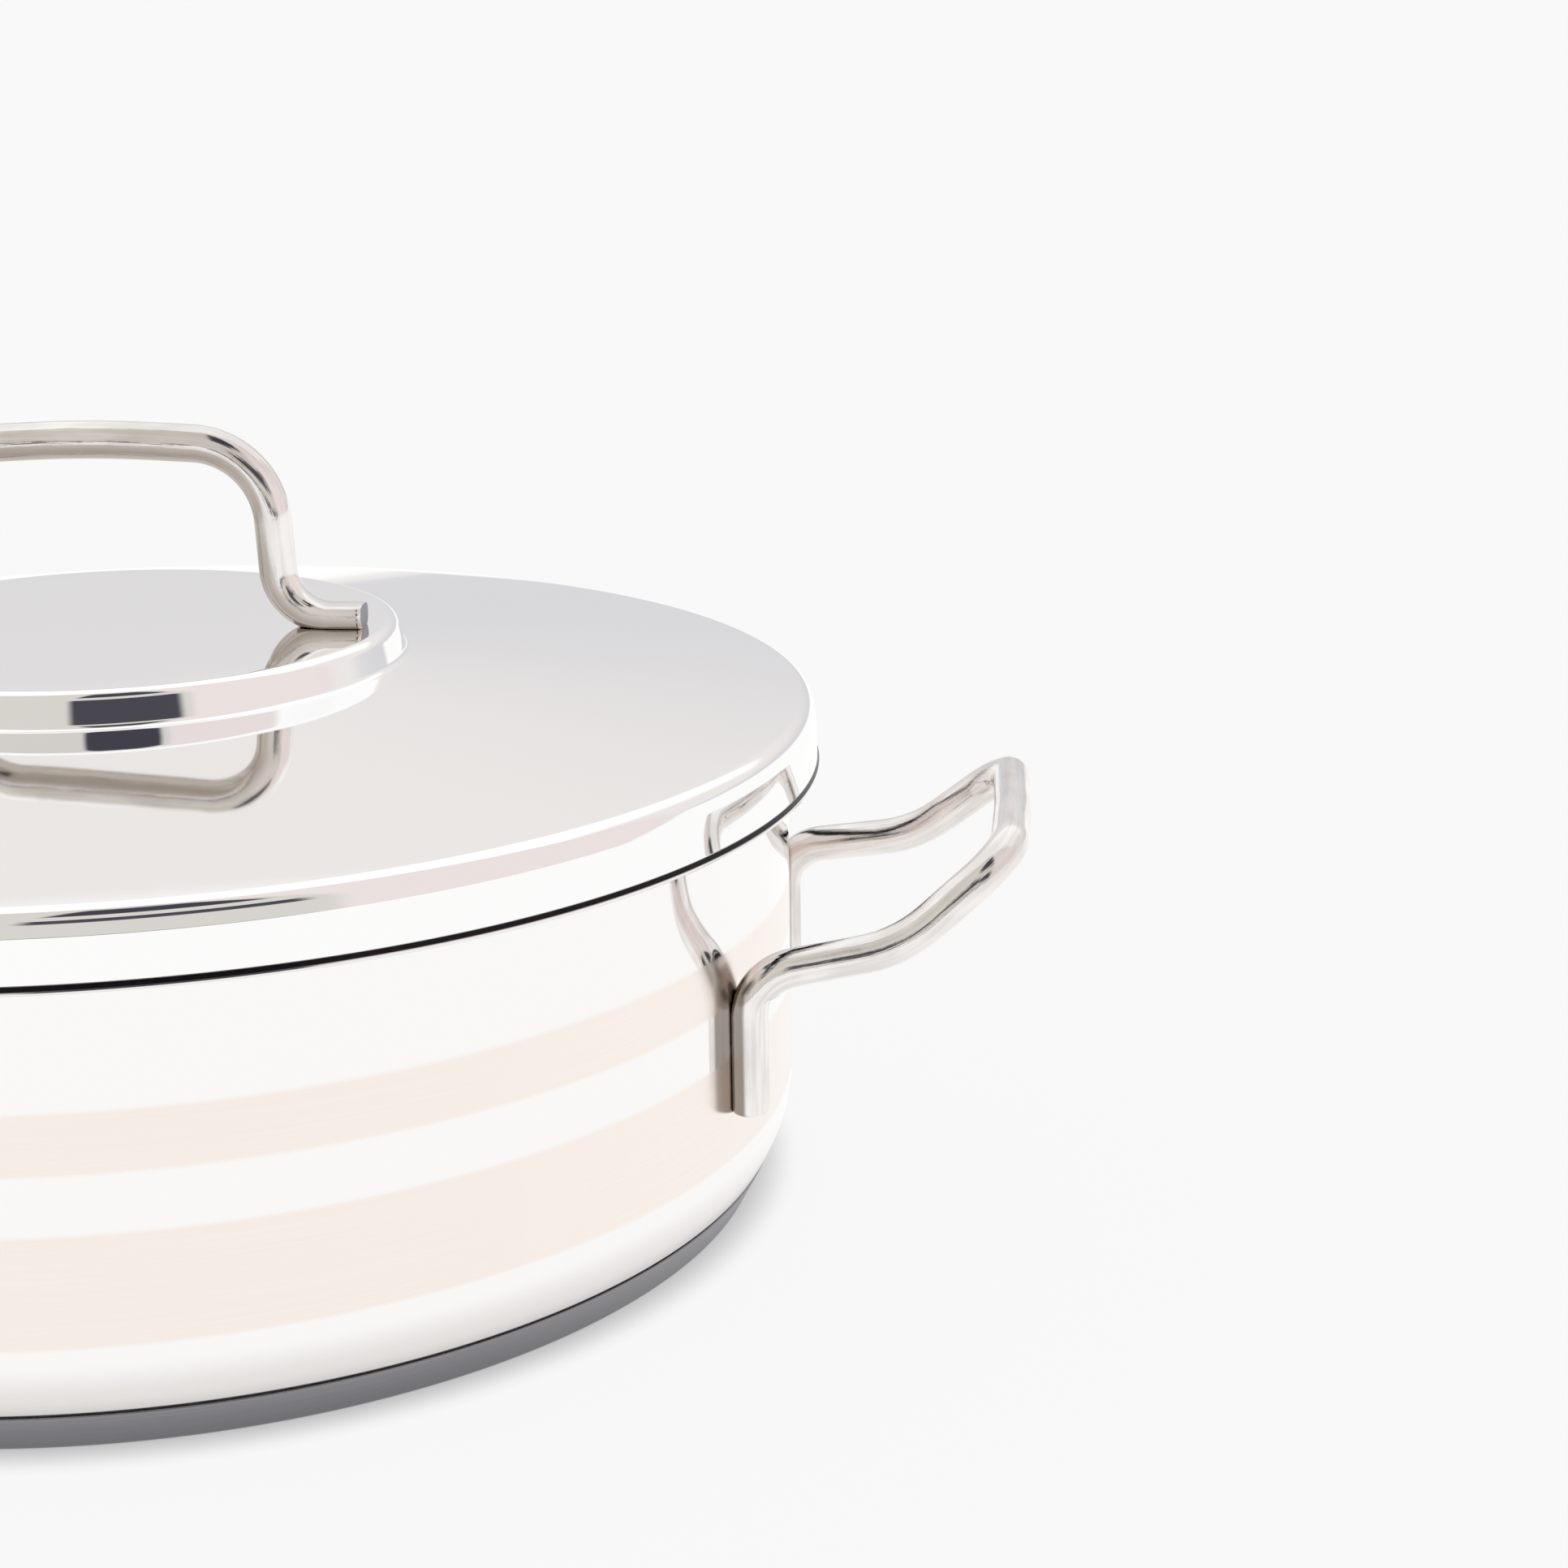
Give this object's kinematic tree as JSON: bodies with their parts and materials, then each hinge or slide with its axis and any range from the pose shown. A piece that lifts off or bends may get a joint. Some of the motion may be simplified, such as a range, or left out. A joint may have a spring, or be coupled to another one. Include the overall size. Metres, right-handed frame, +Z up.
{
  "type": "braiser",
  "caption": "Low wide polished steel casserole with a bonded base, bent rod loop handles at the sides and a lift-off lid with a rod handle.",
  "frame": {"origin": "middle of the flat face that the pot stands on", "axes": "+Z up through the middle of the pot and lid, +X towards the right side handle, +Y towards the back"},
  "size_m": [0.382, 0.2946, 0.1613],
  "materials": {
    "pan_steel": "mirror polished with two satin bands",
    "core_aluminium": "pressed",
    "capsule_steel": "fine turned satin",
    "handle_steel": "tumble polished rod",
    "lid_steel": "mirror polished"
  },
  "bodies": {
    "pot": {"pot_body": "pan_steel", "base_core": "core_aluminium", "base_cap": "capsule_steel", "side_handle_right": "handle_steel", "side_handle_left": "handle_steel"},
    "lid": {"lid_shell": "lid_steel", "lid_handle": "handle_steel"}
  },
  "joints": [
    {"name": "lid_lift", "type": "slide", "parent": "pot", "child": "lid", "axis": [0, 0, 1], "range_m": [0, 0.12]}
  ]
}
